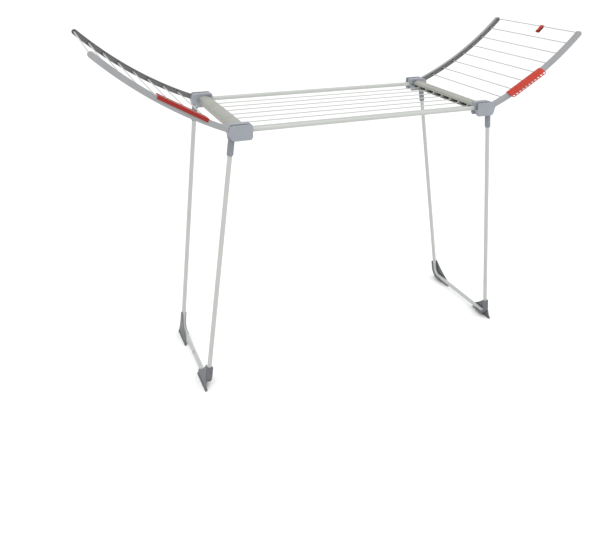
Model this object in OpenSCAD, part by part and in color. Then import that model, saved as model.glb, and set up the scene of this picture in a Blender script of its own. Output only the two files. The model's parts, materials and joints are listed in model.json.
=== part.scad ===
// Folding clothes drying rack: a wired deck on two crossing U legs, with a
// hinged wing at each end. +X is the deck's right end, -Y its front, +Z is up.
// The origin is on the floor, under the middle of the deck. Millimetres.
// It is modelled open, with both wings raised and both legs down.

/* [Deck] */
// Distance between the centrelines of the two side tubes
deck_w = 500; // [480:5:520]
// Length of the deck over its corner housings
deck_len = 1044; // [1020:4:1080]
// Height of the side tubes' centrelines above the floor
tube_z = 970; // [900:5:1000]
// Diameter of the side tubes and of the leg tubes
tube_d = 16; // [14:1:16]
// Wall thickness of the tubes
tube_wall = 1.2; // [1:0.1:2]
// Diameter of every drying wire
wire_d = 4; // [3:0.5:4]
// How far the deck wires lie below the side tubes' centrelines
wire_drop = 7; // [6:0.5:8]

/* [Corner housings] */
// Length of a housing along the deck
housing_len = 80; // [78:1:86]
// Height of a housing
housing_h = 52; // [50:1:54]
// Thickness of the outer cover
cover_t = 4.2; // [3:0.1:4.2]

/* [End rails] */
// Width of an end rail along the deck
rail_w = 43; // [40:1:46]
// Wall thickness of a rail
rail_wall = 3; // [2.5:0.5:4]

/* [Wings] */
// Angle of the arms above the horizontal at their hinges
wing_angle = 21.8; // [20:0.2:25]
// How far the arms curve upward by the end wire
wing_turn = 22.6; // [16:0.2:24]
// Distance along the arm from the hinge to the first wire
wing_first = 72; // [68:1:72]
// Distance along the arm between neighbouring wires
wing_pitch = 60; // [57:0.5:60]
// Height of an arm
arm_h = 19; // [19:0.5:21]
// Width of an arm across the deck
arm_w = 15.8; // [14:0.2:15.8]

/* [Legs] */
// How far the legs lean out from the vertical
leg_splay = 6.6; // [4:0.1:7]
// How far each leg tube leans in toward the floor
leg_taper = 2.9; // [2.6:0.1:3.4]
// Radius of the bends of a leg tube
bend_r = 32; // [28:1:36]
// Height of a leg's cross tube above the floor
cross_z = 25; // [24:1:30]
// Length of a leg socket below its pivot
socket_len = 60; // [58:1:66]

/* [Feet] */
// Height of a foot above the floor
foot_h = 90; // [80:2:100]
// Length of a foot's edge on the floor
foot_len = 123; // [110:1:130]

/* [Clip-on pieces] */
// Length of a small-item comb
comb_len = 174; // [170:1:176]
// Width of a comb's slotted flap
flap_w = 26; // [22:1:30]
// Distance along the arm from the hinge to the middle of a comb
comb_at = 180; // [178:1:230]
// Length of the lock clip
clip_len = 40; // [38:1:44]

/* [Hidden] */
$fn = 64;
SIDES = ["front", "back"];
ENDS = ["left", "right"];
DECK_WIRES = 7;
WING_WIRES = 8;
CORNERS = [for (s = SIDES) for (e = ENDS) str(s, "_", e)];

// Running gap round a pin, and the gap of a pushed-in tube or wire
run_gap = 0.06;
fit_gap = 0.04;
cut = 1;

tube_r = tube_d / 2;
wire_r = wire_d / 2;
tube_y = deck_w / 2;
x_end = deck_len / 2;
x_in = x_end - housing_len;
z_top = tube_z + 24;
z_bot = z_top - housing_h;

// Across the deck: housing's inner face, leg slot, arm slot, cover
y_in = tube_y - 17.5;
leg_slot = [tube_y - 12.2, tube_y + 14.8];
y_out = tube_y + 30;
y_cover = y_out - cover_t;
arm_y1 = y_cover - 0.4;
arm_y0 = arm_y1 - arm_w;
y_slot = arm_y0 - 0.4;

// Wing hinge and the arc that the wires follow
hinge_x = x_end - 19;
hinge_z = tube_z + 5;
arm_r = arm_h / 2;
wing_s = wing_first + (WING_WIRES - 1) * wing_pitch;
wing_r = wing_s / (wing_turn * PI / 180);
arm_end = wing_s - 3.5;
slot_gap = 0.4;
wing_pin_r = 3;

// Leg pivot and the leg's own plane, in which z = 0 is the pivot
leg_x = x_end - 15;
leg_z = tube_z - 21.5;
leg_y = tube_y + 3;
leg_pin_r = 3;
hub_r = 11;
leg_slot_top = leg_z + hub_r + 0.7;
socket_top = 14;
leg_floor = -leg_z / cos(leg_splay);
cross_d = (leg_z - cross_z) / cos(leg_splay);
corner_y = leg_y - cross_d * tan(leg_taper);
bend_t = bend_r * tan((90 - leg_taper) / 2);
bend_y = corner_y - bend_t;
bend_z = bend_r - cross_d;
straight_len = cross_d / cos(leg_taper) - bend_t;

// End rail: a crowned box section with a row of pockets open toward the deck
rail_x1 = x_end - 27;
rail_x0 = rail_x1 - rail_w;
rail_crown = 50;
rail_top = tube_z + 16;
rail_bot = tube_z - 12.5;
rib_t = 12;

// Comb and clip
comb_t = 3;
comb_lip = 12;
comb_droop = 36;
comb_gap = 0.3;
comb_lift = 0.4 + pow(comb_len / 2, 2) / (2 * (wing_r - arm_r));
COMB_WINDOWS = 11;
clip_w = 18;
clip_t = 8;
clip_back = 6;
clip_y = -44;

GREY = [0.47, 0.49, 0.52];
WHITE = [0.90, 0.90, 0.88];
RED = [0.76, 0.13, 0.10];
STEEL = [0.72, 0.73, 0.75];

// ---------- helpers ----------

function arc(c, r, a0, a1, n = 10) =
    [for (i = [0:n]) let (a = a0 + (a1 - a0) * i / n) [c[0] + r * cos(a), c[1] + r * sin(a)]];

// Shallow hollow between two points, sagging to the left of the way from p to q
function bow(p, q, sag, n = 8) =
    let (c = q - p, side = [-c[1], c[0]] / norm(c))
    [for (i = [0:n]) let (t = i / n) p + t * c + 4 * sag * t * (1 - t) * side];

// Angle of the line that touches two circles on their right-hand side
function touch_angle(c1, r1, c2, r2) =
    let (d = c2 - c1) atan2(d[1], d[0]) - acos((r1 - r2) / norm(d));

function deck_wire_y(i) = (i - (DECK_WIRES + 1) / 2) * deck_w / (DECK_WIRES + 1);

function wire_s(i) = wing_first + (i - 1) * wing_pitch;
function arc_deg(s) = s / wing_r * 180 / PI;
function wing_point(s) =
    let (a = wing_angle + arc_deg(s))
    [hinge_x + wing_r * (sin(a) - sin(wing_angle)), hinge_z + wing_r * (cos(wing_angle) - cos(a))];

function is_left(e) = e == "left";
function is_front(s) = s == "front";

// Everything is drawn for the back right corner and mirrored to the others
module at_end(e) mirror([is_left(e) ? 1 : 0, 0, 0]) children();
module at_side(s) mirror([0, is_front(s) ? 1 : 0, 0]) children();
module at_corner(s, e) at_end(e) at_side(s) children();

// An outline in X and Z, given its thickness from y0 to y1
module slab_xz(y0, y1) {
    translate([0, y1, 0])
        rotate([90, 0, 0])
            linear_extrude(y1 - y0) children();
}

// An outline in Y and Z, given its thickness from x0 to x1
module slab_yz(x0, x1) {
    translate([x0, 0, 0])
        rotate([90, 0, 90])
            linear_extrude(x1 - x0) children();
}

module rod_y(x, z, r, y0, y1) {
    translate([x, y1, z])
        rotate([90, 0, 0])
            cylinder(h = y1 - y0, r = r);
}

module rod_x(y, z, r, x0, x1) {
    translate([x0, y, z])
        rotate([0, 90, 0])
            cylinder(h = x1 - x0, r = r);
}

// ---------- deck ----------

module side_tube(s) {
    end = x_in + 14;
    color(WHITE)
        at_side(s)
            difference() {
                rod_x(tube_y, tube_z, tube_r, -end, end);
                rod_x(tube_y, tube_z, tube_r - tube_wall, -end - cut, end + cut);
            }
}

module deck_wire(i) {
    end = rail_x0 + 26;
    color(WHITE) rod_x(deck_wire_y(i), tube_z - wire_drop, wire_r, -end, end);
}

// Crowned outline of the rail, drawn in by e on every side
module rail_outline(e) {
    r = rail_crown - e;
    c = [(rail_x0 + rail_x1) / 2, rail_top - rail_crown];
    a = asin((rail_w / 2 - e) / r);
    polygon(concat(
        arc(c, r, 90 + a, 90 - a, 16),
        [[rail_x1 - e, rail_bot + e], [rail_x0 + e, rail_bot + e]]));
}

module end_rail(e) {
    mouth_top = rail_top - 14;
    mouth_bot = rail_bot + 1.5;
    neck = 12;
    color(GREY)
        at_end(e)
            difference() {
                union() {
                    difference() {
                        slab_xz(-y_in, y_in) rail_outline(0);
                        slab_xz(-y_in - cut, y_in + cut) rail_outline(rail_wall);
                        translate([rail_x0 - cut, -y_in - cut, mouth_bot])
                            cube([rail_wall + 2 * cut, 2 * (y_in + cut), mouth_top - mouth_bot]);
                    }
                    for (i = [1:DECK_WIRES])
                        slab_xz(deck_wire_y(i) - rib_t / 2, deck_wire_y(i) + rib_t / 2)
                            rail_outline(rail_wall - 0.5);
                }
                // Shallow line across the crown over each wire
                for (i = [1:DECK_WIRES])
                    slab_xz(deck_wire_y(i) - 1.2, deck_wire_y(i) + 1.2)
                        difference() {
                            translate([rail_x0 - cut, rail_top - 9]) square([rail_w + 2 * cut, 12]);
                            rail_outline(0.8);
                        }
                for (i = [1:DECK_WIRES])
                    rod_x(deck_wire_y(i), tube_z - wire_drop, wire_r + fit_gap,
                          rail_x0 - cut, rail_x0 + 26.5);
                // The rail narrows where it meets the housings
                for (m = [0, 1])
                    mirror([0, m, 0])
                        translate([0, 0, rail_bot - cut])
                            linear_extrude(housing_h)
                                polygon([[rail_x0 - cut, y_in - neck],
                                         [rail_x0, y_in - neck],
                                         [rail_x0 + 18, y_in + cut],
                                         [rail_x0 - cut, y_in + cut]]);
            }
}

// ---------- corner housings ----------

// Side outline of a housing: square toward the deck, rounded at the wing's end
module housing_outline() {
    low = [x_end - 19, z_bot + 13];
    low_r = 13;
    high = [x_end - 18, z_top - 18];
    high_r = 18;
    t = touch_angle(low, low_r, high, high_r);
    polygon(concat(
        [[x_in, z_bot + 9], [x_in + 6, z_bot]],
        arc(low, low_r, -90, t),
        arc(high, high_r, t, 90, 14),
        arc([x_in + 6, z_top - 6], 6, 90, 180, 6)));
}

// Space that an arm sweeps between its open and folded positions
module arm_slot_outline() {
    off = arm_r + slot_gap;
    foot = [hinge_x + off * sin(wing_angle), hinge_z - off * cos(wing_angle)];
    run = 60;
    high = z_top + 20;
    polygon([
        foot,
        foot + run * [cos(wing_angle), sin(wing_angle)],
        [foot[0] + run, high],
        [x_in - 10, high],
        [x_in - 10, hinge_z - off],
        [hinge_x, hinge_z - off]]);
    translate([hinge_x, hinge_z]) circle(off);
}

module housing_pegs(r, y0, y1) {
    for (x = [x_in + 16, x_in + 42])
        rod_y(x, z_bot + 11, r, y0, y1);
}

module housing(s, e) {
    color(GREY)
        at_corner(s, e)
            difference() {
                slab_xz(y_in, y_cover) housing_outline();
                slab_xz(y_slot, y_cover + cut) arm_slot_outline();
                // Slot that the leg swings in, open below and toward the deck
                translate([x_in - cut, leg_slot[0], z_bot - cut])
                    cube([housing_len + 2 * cut, leg_slot[1] - leg_slot[0],
                          leg_slot_top - z_bot + cut]);
                // Sleeve for the side tube, with a sunk rim
                rod_x(tube_y, tube_z, tube_r + fit_gap, x_in - cut, x_in + 14.4);
                rod_y(hinge_x, hinge_z, wing_pin_r + fit_gap, tube_y - 6, y_slot + cut);
                rod_y(leg_x, leg_z, leg_pin_r + fit_gap, y_in - cut, tube_y + 22.2);
                housing_pegs(3 + fit_gap, y_cover - 9, y_cover + cut);
                // Moulding recesses in the inner face
                translate([x_in + 5, y_in - cut, z_top - 13]) cube([26, cut + 4, 5]);
                translate([x_in + 5, y_in - cut, z_top - 28]) cube([50, cut + 4, 6]);
                translate([x_in + 5, y_in - cut, z_bot + 7]) cube([34, cut + 3, 5]);
            }
}

module housing_cover(s, e) {
    color(GREY)
        at_corner(s, e)
            difference() {
                union() {
                    slab_xz(y_cover, y_out) housing_outline();
                    housing_pegs(3, y_cover - 8, y_cover + cut);
                }
                rod_y(hinge_x, hinge_z, wing_pin_r + fit_gap, y_cover - cut, y_out - 1.4);
            }
}

module wing_pins() {
    color(STEEL)
        for (s = SIDES)
            for (e = ENDS)
                at_corner(s, e)
                    rod_y(hinge_x, hinge_z, wing_pin_r, tube_y - 5.6, y_out - 1.8);
}

module leg_pins() {
    color(STEEL)
        for (s = SIDES)
            for (e = ENDS)
                at_corner(s, e)
                    rod_y(leg_x, leg_z, leg_pin_r, y_in, tube_y + 21.8);
}

// ---------- wings ----------

// Part of a ring that follows the wing's arc from s0 to s1
module arc_bar(s0, s1, low, high, y0, y1) {
    translate([hinge_x - wing_r * sin(wing_angle), 0, hinge_z + wing_r * cos(wing_angle)])
        rotate([90, 0, 0])
            rotate([0, 0, wing_angle - 90 + arc_deg(s0)])
                rotate_extrude(angle = arc_deg(s1 - s0), $fn = 360)
                    translate([wing_r - high, -y1])
                        square([high - low, y1 - y0]);
}

module wing_arm(s, e) {
    tip = wing_point(arm_end);
    pocket = 4.5;
    lap = 0.6;
    color(GREY)
        at_corner(s, e)
            difference() {
                union() {
                    arc_bar(-lap, arm_end + lap, -arm_r, arm_r, arm_y0, arm_y1);
                    rod_y(hinge_x, hinge_z, arm_r - 0.2, arm_y0, arm_y1);
                    rod_y(tip[0], tip[1], arm_r - 0.2, arm_y0, arm_y1);
                }
                rod_y(hinge_x, hinge_z, wing_pin_r + run_gap, arm_y0 - cut, arm_y1 + cut);
                for (i = [1:WING_WIRES]) {
                    p = wing_point(wire_s(i));
                    arc_bar(wire_s(i) - pocket, wire_s(i) + pocket * (i < WING_WIRES ? 1 : 0.8),
                            -6, 6, arm_y0 - cut, arm_y0 + 6);
                    rod_y(p[0], p[1], wire_r + fit_gap, arm_y0 - cut, arm_y0 + 12);
                }
                // Long recess in the inner face between neighbouring wires
                for (i = [1:WING_WIRES - 1])
                    arc_bar(wire_s(i) + pocket + 5, wire_s(i + 1) - pocket - 5,
                            -7, 7, arm_y0 - cut, arm_y0 + 2);
            }
}

module wing_wire(e, i) {
    p = wing_point(wire_s(i));
    half = arm_y0 + 11.6;
    color(WHITE)
        at_end(e)
            rod_y(p[0], p[1], wire_r, -half, half);
}

// ---------- legs ----------

// The plane of the right leg, with its pivots on the Y axis
module leg_frame() {
    translate([leg_x, 0, leg_z])
        rotate([0, -leg_splay, 0])
            children();
}

// The line of the back leg tube, with z = 0 at its pivot
module tube_line() {
    translate([0, leg_y, 0])
        rotate([-leg_taper, 0, 0])
            children();
}

// The whole bent line of a leg tube, as a solid of radius r. Bending draws the
// tube in by a hair, and its straight lengths run a little way into the bends.
module leg_path(r) {
    lap = 1.5;
    drawn = 0.1;
    for (m = [0, 1])
        mirror([0, m, 0]) {
            tube_line()
                translate([0, 0, -straight_len - lap])
                    cylinder(h = straight_len + lap - socket_top - 2, r = r);
            translate([0, bend_y, bend_z])
                rotate([90, 0, 90])
                    rotate([0, 0, -90])
                        rotate_extrude(angle = 90 - leg_taper, $fn = 96)
                            translate([bend_r, 0])
                                circle(r - drawn);
        }
    translate([0, bend_y + lap, -cross_d])
        rotate([90, 0, 0])
            cylinder(h = 2 * (bend_y + lap), r = r);
}

module leg_tube(e) {
    color(WHITE)
        at_end(e)
            leg_frame()
                difference() {
                    leg_path(tube_r);
                    leg_path(tube_r - tube_wall);
                    for (m = [0, 1])
                        mirror([0, m, 0])
                            tube_line()
                                translate([0, 0, -socket_top - 4])
                                    cylinder(h = 4, r = tube_r - tube_wall);
                    // Drain hole in the cross tube, facing outward and up
                    translate([0, 0, -cross_d])
                        rotate([0, 45, 0])
                            cylinder(h = tube_d, r = 3);
                }
}

module leg_socket(s, e) {
    lip = 3;
    color(GREY)
        at_corner(s, e)
            difference() {
                union() {
                    rod_y(leg_x, leg_z, hub_r, leg_slot[0] + 0.6, leg_slot[1] - 0.6);
                    // Square heel that rests on the slot's roof while the leg is down
                    translate([leg_x, leg_slot[0] + 0.6, leg_z])
                        cube([hub_r - 0.4, leg_slot[1] - leg_slot[0] - 1.2, hub_r + 0.4]);
                    leg_frame()
                        tube_line() {
                            translate([0, 0, lip - socket_len])
                                cylinder(h = socket_len - lip, r = hub_r);
                            translate([0, 0, -socket_len])
                                cylinder(h = lip, r1 = hub_r - 1.4, r2 = hub_r);
                        }
                }
                rod_y(leg_x, leg_z, leg_pin_r + run_gap, leg_slot[0], leg_slot[1]);
                leg_frame()
                    tube_line() {
                        translate([0, 0, -socket_len - cut])
                            cylinder(h = socket_len + cut - socket_top, r = tube_r + fit_gap);
                        // Three ribs' worth of recesses on the inner side
                        for (d = [20, 33, 46])
                            translate([-6, -hub_r - cut, -d - 3])
                                cube([12, cut + 2.2, 6]);
                    }
            }
}

// ---------- feet ----------

// Outline of a foot's plate in the leg's plane: a web from the toe up to the tube
module foot_outline() {
    tip = corner_y + 20;
    toe = tip - foot_len;
    top = leg_floor + foot_h;
    top_y = leg_y + top * tan(leg_taper);
    polygon(concat(
        [[toe, leg_floor - 2], [tip, leg_floor - 2]],
        bow([tip, leg_floor], [top_y + 2, top], 5),
        bow([top_y - 5, top + 7], [toe + 8, leg_floor + 24], 6)));
}

// Outer half of the tube's line, out to a given distance from it
module sleeve_outline(out) {
    top = leg_floor + foot_h;
    top_y = leg_y + top * tan(leg_taper);
    run = 26;
    polygon(concat(
        [[bend_y - run, -cross_d - out]],
        arc([bend_y, bend_z], bend_r + out, -90, -leg_taper, 12),
        [[top_y + out, top], [top_y, top]],
        arc([bend_y, bend_z], bend_r, -leg_taper, -90, 12),
        [[bend_y - run, -cross_d]]));
}

module foot(s, e) {
    plate_x = tube_r + 0.4;
    plate_t = 3;
    sleeve = 3.2;
    color(GREY)
        at_corner(s, e)
            difference() {
                leg_frame()
                    difference() {
                        union() {
                            slab_yz(plate_x, plate_x + plate_t) foot_outline();
                            slab_yz(-tube_r - sleeve, plate_x + cut) sleeve_outline(tube_r + sleeve);
                            // Thick edge that stands on the floor
                            slab_yz(plate_x - 3, plate_x + plate_t + 2)
                                intersection() {
                                    foot_outline();
                                    translate([0, leg_floor - 3])
                                        square([2 * corner_y, 10]);
                                }
                        }
                        leg_path(tube_r + fit_gap);
                    }
                translate([leg_x - 100, 0, -40]) cube([300, 2 * corner_y, 40]);
            }
}

// ---------- clip-on pieces ----------

// Slotted flap of a comb, from its joined edge at y = 0 to its rounded outer edge
module comb_flap() {
    pitch = comb_len / COMB_WINDOWS;
    corner = 7;
    half = comb_len / 2;
    window_h = 8;
    window_w = pitch - 5;
    window_y = flap_w - 2.5 - window_h / 2;
    linear_extrude(comb_t)
        difference() {
            union() {
                translate([-half, 0]) square([2 * half, flap_w - corner]);
                translate([corner - half, 0]) square([2 * (half - corner), flap_w]);
                for (m = [-1, 1])
                    translate([m * (half - corner), flap_w - corner]) circle(corner);
            }
            for (i = [0:COMB_WINDOWS - 1])
                translate([(i + 0.5) * pitch - half, window_y]) {
                    square([window_w - window_h, window_h], center = true);
                    for (m = [-1, 1])
                        translate([m * (window_w - window_h) / 2, 0]) circle(window_h / 2);
                }
        }
}

// Strip over an arm's top with a lip down its outside. The arm's outer face is
// at y = 0, its top at z = 0 and x runs along it.
module comb_hook() {
    translate([-comb_len / 2, -arm_w, comb_lift])
        cube([comb_len, arm_w + comb_gap + comb_t, comb_t]);
    translate([-comb_len / 2, comb_gap, comb_lift + comb_t - comb_lip])
        cube([comb_len, comb_t, comb_lip - 0.5]);
}

// Frame on the right wing's arc: x along the arm, z away from the arm's top
module wing_frame(at) {
    p = wing_point(at);
    translate([p[0], 0, p[1]])
        rotate([0, -wing_angle - arc_deg(at), 0])
            children();
}

// Hooked over the front arm, with its flap drooping outward
module comb_right() {
    color(RED)
        at_side("front")
            wing_frame(comb_at)
                translate([0, arm_y1, arm_r]) {
                    comb_hook();
                    translate([0, comb_gap + comb_t - 0.3, comb_lift + comb_t - 0.2])
                        rotate([-comb_droop, 0, 0])
                            translate([0, 0, -comb_t])
                                comb_flap();
                }
}

// Hooked over the front arm, with its flap level and inward
module comb_left() {
    color(RED)
        at_end("left")
            at_side("front")
                wing_frame(comb_at)
                    translate([0, arm_y1, arm_r]) {
                        comb_hook();
                        translate([0, 1 - arm_w, comb_lift])
                            mirror([0, 1, 0])
                                comb_flap();
                    }
}

// Clip that turns on the right wing's end wire and can snap over the left one
module lock_clip() {
    reach = 2 * (hinge_x - norm(wing_point(wing_s) - [hinge_x, hinge_z]));
    nose_r = clip_t / 2;
    color(RED)
        wing_frame(wing_s)
            rotate([0, 180, 0])
                difference() {
                    union() {
                        translate([nose_r - clip_back, -clip_w / 2 + clip_y, -clip_t / 2])
                            cube([clip_len - clip_t, clip_w, clip_t]);
                        for (x = [nose_r - clip_back, clip_len - clip_back - nose_r])
                            rod_y(x, 0, nose_r, clip_y - clip_w / 2, clip_y + clip_w / 2);
                    }
                    rod_y(0, 0, wire_r + run_gap, clip_y - clip_w, clip_y + clip_w);
                    translate([-1.4, clip_y - clip_w, 0]) cube([2.8, 2 * clip_w, clip_t]);
                    rod_y(reach, 0, wire_r + 0.3, clip_y - clip_w, clip_y + clip_w);
                    translate([reach - 1.5, clip_y - clip_w, -clip_t]) cube([3, 2 * clip_w, clip_t]);
                }
}

for (s = SIDES)
    side_tube(s);
for (e = ENDS)
    end_rail(e);
for (i = [1:DECK_WIRES])
    deck_wire(i);
for (s = SIDES, e = ENDS)
    housing(s, e);
for (s = SIDES, e = ENDS)
    housing_cover(s, e);
wing_pins();
leg_pins();
for (s = SIDES, e = ENDS)
    wing_arm(s, e);
for (e = ENDS, i = [1:WING_WIRES])
    wing_wire(e, i);
for (s = SIDES, e = ENDS)
    leg_socket(s, e);
for (e = ENDS)
    leg_tube(e);
for (s = SIDES, e = ENDS)
    foot(s, e);
comb_left();
comb_right();
lock_clip();
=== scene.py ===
"""Looks, light and camera for a folding clothes drying rack, around its CAD frame. Metres."""

import json
import math

import bmesh
import bpy
from mathutils import Matrix, Vector


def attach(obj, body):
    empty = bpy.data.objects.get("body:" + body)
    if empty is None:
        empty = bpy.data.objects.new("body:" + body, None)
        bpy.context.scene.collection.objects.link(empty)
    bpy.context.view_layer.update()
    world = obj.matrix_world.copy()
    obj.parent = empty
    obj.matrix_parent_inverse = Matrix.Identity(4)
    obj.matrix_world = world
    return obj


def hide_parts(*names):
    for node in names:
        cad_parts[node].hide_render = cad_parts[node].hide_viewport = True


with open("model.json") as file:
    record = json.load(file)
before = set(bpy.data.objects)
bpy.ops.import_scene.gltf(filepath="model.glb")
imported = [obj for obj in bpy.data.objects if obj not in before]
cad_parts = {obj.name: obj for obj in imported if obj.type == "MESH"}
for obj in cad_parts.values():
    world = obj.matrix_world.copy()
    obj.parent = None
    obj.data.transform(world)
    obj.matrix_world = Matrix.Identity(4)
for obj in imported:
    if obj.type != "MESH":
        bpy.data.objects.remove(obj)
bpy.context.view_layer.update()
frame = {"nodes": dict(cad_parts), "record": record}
nodes = frame["nodes"]
bodies = frame["record"]["behaviour"]["bodies"]
body_of = {node: body for body, members in bodies.items() for node in members}
slot_of = {entry["node"]: entry["material_slot"] for entry in frame["record"]["subparts"]}

MM = 0.001


# ---------- camera ----------


CAMERA_PLACE = (-1.0944, -2.3832, 1.5650)
CAMERA_HEADING = -27.04
CAMERA_DIP = 17.84
CAMERA_ROLL = 1.54


def make_camera():
    """A view from the front left and above the wings, with the rack high in the frame."""
    data = bpy.data.cameras.new("camera")
    data.sensor_fit = "HORIZONTAL"
    data.sensor_width = 36
    data.lens = 41.6
    data.shift_x = -0.1135
    data.shift_y = -0.1864
    camera = bpy.data.objects.new("camera", data)
    bpy.context.scene.collection.objects.link(camera)
    turn = Matrix.Rotation(math.radians(CAMERA_HEADING), 4, "Z")
    tip = Matrix.Rotation(math.radians(90 - CAMERA_DIP), 4, "X")
    roll = Matrix.Rotation(math.radians(CAMERA_ROLL), 4, "Z")
    camera.matrix_world = Matrix.Translation(CAMERA_PLACE) @ turn @ tip @ roll
    bpy.context.scene.camera = camera


# ---------- materials ----------


class Nodes:
    """Short hand for building one material's node tree."""

    def __init__(self, name):
        self.material = bpy.data.materials.new(name)
        self.material.use_nodes = True
        self.tree = self.material.node_tree
        self.shader = self.tree.nodes["Principled BSDF"]
        self.place = self.tree.nodes.new("ShaderNodeTexCoord").outputs["Object"]

    def noise(self, per_metre, detail, stretch=(1, 1, 1)):
        """Noise with so many blotches to the metre."""
        mapping = self.tree.nodes.new("ShaderNodeMapping")
        mapping.inputs["Scale"].default_value = stretch
        self.tree.links.new(self.place, mapping.inputs["Vector"])
        noise = self.tree.nodes.new("ShaderNodeTexNoise")
        noise.inputs["Scale"].default_value = per_metre
        noise.inputs["Detail"].default_value = detail
        self.tree.links.new(mapping.outputs["Vector"], noise.inputs["Vector"])
        return noise.outputs["Fac"]

    def ramp(self, fac, stops):
        """Colours a value from 0 to 1 by (position, colour) stops."""
        ramp = self.tree.nodes.new("ShaderNodeValToRGB")
        elements = ramp.color_ramp.elements
        while len(elements) < len(stops):
            elements.new(0.5)
        for element, (at, colour) in zip(elements, stops):
            element.position = at
            element.color = (*colour, 1)
        self.tree.links.new(fac, ramp.inputs["Fac"])
        return ramp.outputs["Color"]

    def spread(self, fac, low, high):
        """Stretches the middle of a noise to run from low to high."""
        remap = self.tree.nodes.new("ShaderNodeMapRange")
        remap.inputs["To Min"].default_value = low
        remap.inputs["To Max"].default_value = high
        remap.inputs["From Min"].default_value = 0.3
        remap.inputs["From Max"].default_value = 0.7
        self.tree.links.new(fac, remap.inputs["Value"])
        return remap.outputs["Result"]

    def bump(self, height, strength, distance):
        bump = self.tree.nodes.new("ShaderNodeBump")
        bump.inputs["Strength"].default_value = strength
        bump.inputs["Distance"].default_value = distance
        self.tree.links.new(height, bump.inputs["Height"])
        self.tree.links.new(bump.outputs["Normal"], self.shader.inputs["Normal"])

    def feed(self, socket, name):
        """Links a socket to one of the shader's inputs."""
        self.tree.links.new(socket, self.shader.inputs[name])

    def math(self, operation, first, second):
        """A math node on two sockets or numbers."""
        node = self.tree.nodes.new("ShaderNodeMath")
        node.operation = operation
        for entry, value in zip(node.inputs, (first, second)):
            if isinstance(value, bpy.types.NodeSocket):
                self.tree.links.new(value, entry)
            else:
                entry.default_value = value
        return node.outputs["Value"]

    def across(self, vector):
        """The part of a vector that lies across the deck."""
        split = self.tree.nodes.new("ShaderNodeSeparateXYZ")
        self.tree.links.new(vector, split.inputs["Vector"])
        return split.outputs["Y"]

    def mix(self, fac, first, second):
        """The first colour where fac is 0 and the second where it is 1."""
        mixer = self.tree.nodes.new("ShaderNodeMix")
        mixer.data_type = "RGBA"
        self.tree.links.new(fac, mixer.inputs["Factor"])
        self.tree.links.new(first, mixer.inputs["A"])
        self.tree.links.new(second, mixer.inputs["B"])
        return mixer.outputs["Result"]


def shades(colour, spread):
    """Two stops of a ramp, a little darker and a little lighter than a colour."""
    darker = tuple(c * (1 - spread) for c in colour)
    lighter = tuple(min(1, c * (1 + spread)) for c in colour)
    return [(0.32, darker), (0.68, lighter)]


PLASTIC_SPREAD = 0.05
# A face looks inward, and takes the painted inner shade, where its Y times its normal's Y is
# below this
INWARD = -0.1


def moulded_plastic(name, colour, rough, painted_inner_shade=None, shine=0.45):
    """Fine-grained plastic. With a painted inner shade colour, faces that look in across the deck
    get that colour as painted shade.
    """
    made = Nodes(name)
    blotches = made.noise(14, 4)
    base = made.ramp(blotches, shades(colour, PLASTIC_SPREAD))
    if painted_inner_shade:
        # Painted shade: faces that look in across the deck are darkened to stand in for shade,
        # not for a colour the plastic has
        normal = made.tree.nodes.new("ShaderNodeNewGeometry").outputs["Normal"]
        facing = made.math("MULTIPLY", made.across(made.place), made.across(normal))
        painted_shade_base = made.ramp(blotches, shades(painted_inner_shade, PLASTIC_SPREAD))
        base = made.mix(made.math("LESS_THAN", facing, INWARD), base, painted_shade_base)
    made.feed(base, "Base Color")
    made.feed(made.spread(made.noise(60, 3), rough - 0.05, rough + 0.06), "Roughness")
    made.bump(made.noise(1900, 1), 0.12, 0.0002)
    made.shader.inputs["IOR"].default_value = 1.5
    made.shader.inputs["Specular IOR Level"].default_value = shine
    return made.material


def coated_steel(name, colour):
    made = Nodes(name)
    made.feed(made.ramp(made.noise(9, 3), shades(colour, 0.02)), "Base Color")
    made.feed(made.spread(made.noise(45, 3), 0.3, 0.4), "Roughness")
    made.bump(made.noise(420, 2), 0.06, 0.0003)
    made.shader.inputs["Coat Weight"].default_value = 0.25
    made.shader.inputs["Coat Roughness"].default_value = 0.22
    return made.material


def plain_steel(name):
    made = Nodes(name)
    made.feed(made.ramp(made.noise(30, 3), shades((0.55, 0.56, 0.58), 0.06)), "Base Color")
    made.feed(made.spread(made.noise(500, 2, (1, 0.04, 1)), 0.25, 0.42), "Roughness")
    made.shader.inputs["Metallic"].default_value = 1.0
    return made.material


MATERIALS = {
    "white_metal": coated_steel("white_coated_steel", (0.395, 0.41, 0.39)),
    "grey_plastic": moulded_plastic("grey_moulded_plastic", (0.24, 0.255, 0.285), 0.42),
    "red_plastic": moulded_plastic("red_moulded_plastic", (0.40, 0.026, 0.011), 0.36, shine=0.22),
    "pin_steel": plain_steel("pin_steel"),
}

# Mouldings whose colour differs from their slot's: warmer rails, darker feet, arms with painted
# shade on their inward faces, and the left comb darkened as painted shade
OWN_FINISH = {
    "end_rail": moulded_plastic("grey_rail_plastic", (0.275, 0.28, 0.25), 0.46),
    # Painted shade: the arms' inward faces, on their open channel side, are painted dark for the
    # shade that falls in the channel
    "wing_arm": moulded_plastic(
        "grey_arm_plastic_painted_inner_shade", (0.255, 0.26, 0.27), 0.42, painted_inner_shade=(0.10, 0.10, 0.10)
    ),
    "leg_socket": moulded_plastic("grey_socket_plastic", (0.18, 0.19, 0.21), 0.42),
    "foot": moulded_plastic("grey_foot_plastic", (0.105, 0.11, 0.12), 0.5),
    # Painted shade: the left comb is the same red plastic as the right one, darkened to stand in
    # for the shade it sits in
    "comb_left": moulded_plastic("red_plastic_painted_shade", (0.25, 0.016, 0.010), 0.4, shine=0.2),
}


def kind_in(table, name):
    """The first key of a table that a node's name starts with."""
    return next((kind for kind in table if name.startswith(kind)), None)


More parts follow.
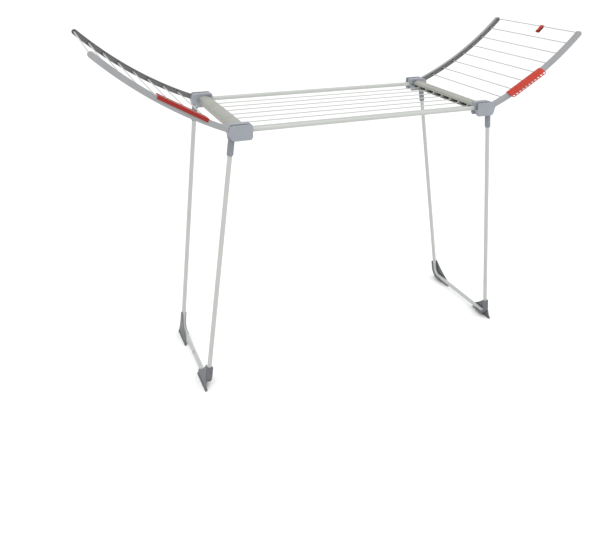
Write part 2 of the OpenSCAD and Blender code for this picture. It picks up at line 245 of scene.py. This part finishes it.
def finish_of(name):
    """The material a node and its rounded copy share."""
    return OWN_FINISH.get(kind_in(OWN_FINISH, name), MATERIALS[slot_of[name]])


for name, node in nodes.items():
    node.data.materials.clear()
    node.data.materials.append(finish_of(name))


# ---------- rounded edges ----------

SHARP = math.radians(35)
WELD = 0.002 * MM
FLAT = math.radians(0.05)
# Edges shorter than this keep their corner
SHORT = 0.8 * MM
# How close to a node's furthest point across the deck a vertex counts as on its outermost face
OUTER_DEPTH = 0.05 * MM


def rounded(name, width, rest=None):
    """Shows a copy of a CAD node with its sharp edges rounded by width.

    With rest, only the edges of the node's outermost face across the deck get
    the full width, and the others get rest.
    """
    shape = bmesh.new()
    shape.from_mesh(nodes[name].data)
    bmesh.ops.remove_doubles(shape, verts=shape.verts, dist=WELD)
    bmesh.ops.dissolve_limit(shape, angle_limit=FLAT, verts=shape.verts, edges=shape.edges)
    outer = max(abs(v.co.y) for v in shape.verts) - OUTER_DEPTH
    weight = shape.edges.layers.float.new("bevel_weight_edge")
    for edge in shape.edges:
        if len(edge.link_faces) != 2:
            continue
        if edge.calc_face_angle() < SHARP or edge.calc_length() < SHORT:
            continue
        is_outer = all(abs(v.co.y) > outer for v in edge.verts)
        edge[weight] = 1 if rest is None or is_outer else rest / width
    data = bpy.data.meshes.new(name + "_rounded")
    shape.to_mesh(data)
    shape.free()
    for face in data.polygons:
        face.use_smooth = True
    data.materials.append(finish_of(name))
    piece = bpy.data.objects.new(name + "_rounded", data)
    bpy.context.scene.collection.objects.link(piece)
    bevel = piece.modifiers.new("edges", "BEVEL")
    bevel.limit_method = "WEIGHT"
    bevel.width = width
    bevel.segments = 3
    bevel.use_clamp_overlap = False
    normals = piece.modifiers.new("normals", "WEIGHTED_NORMAL")
    normals.keep_sharp = False
    normals.weight = 100
    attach(piece, body_of[name])
    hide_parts(name)


# Radius of each kind's edges: on its outermost face, and elsewhere where that differs
ROUNDING = {
    "housing_cover": (1.8 * MM, 0.3 * MM),
    "housing": (0.4 * MM, None),
    "end_rail": (0.4 * MM, None),
    "leg_socket": (0.4 * MM, None),
    "foot": (0.7 * MM, None),
    "lock_clip": (0.7 * MM, None),
}

for name in nodes:
    kind = kind_in(ROUNDING, name)
    if kind:
        rounded(name, *ROUNDING[kind])


# ---------- floor and light ----------


FLOOR_HALF = 30


def make_floor():
    """A plain pale floor, large enough that its edge is far off."""
    data = bpy.data.meshes.new("floor")
    half = FLOOR_HALF
    corners = [(-half, -half, 0), (half, -half, 0), (half, half, 0), (-half, half, 0)]
    data.from_pydata(corners, [], [(0, 1, 2, 3)])
    floor = bpy.data.objects.new("floor", data)
    bpy.context.scene.collection.objects.link(floor)
    made = Nodes("floor_paint")
    made.feed(made.ramp(made.noise(1.5, 3), shades((0.86, 0.86, 0.86), 0.01)), "Base Color")
    made.shader.inputs["Roughness"].default_value = 0.9
    made.shader.inputs["Specular IOR Level"].default_value = 0.1
    data.materials.append(made.material)


LIGHT_AIM = (0, 0, 0.8)


def make_light(name, energy, size, place):
    """A round soft light that looks at the middle of the rack."""
    data = bpy.data.lights.new(name, "AREA")
    data.energy = energy
    data.shape = "DISK"
    data.size = size
    light = bpy.data.objects.new(name, data)
    bpy.context.scene.collection.objects.link(light)
    light.location = place
    away = Vector(place) - Vector(LIGHT_AIM)
    light.rotation_euler = away.to_track_quat("Z", "Y").to_euler()


def make_overhead(strength, spread, tilt):
    """A broad soft light from above and a little in front, which also lights the far floor."""
    data = bpy.data.lights.new("overhead", "SUN")
    data.energy = strength
    data.angle = math.radians(spread)
    light = bpy.data.objects.new("overhead", data)
    bpy.context.scene.collection.objects.link(light)
    light.rotation_euler = (math.radians(tilt), 0, 0)


def make_world(strength):
    """An even white surround."""
    world = bpy.data.worlds.new("studio")
    world.use_nodes = True
    background = world.node_tree.nodes["Background"]
    background.inputs["Color"].default_value = (1.0, 1.0, 1.0, 1)
    background.inputs["Strength"].default_value = strength
    bpy.context.scene.world = world


make_camera()
make_floor()
make_world(strength=0.96)
make_overhead(strength=0.9, spread=60, tilt=20)
make_light("key", energy=65, size=2.6, place=(-2.2, -3.0, 4.2))
make_light("fill", energy=25, size=3.0, place=(3.4, -2.0, 2.4))
bpy.context.scene.view_settings.view_transform = "Standard"
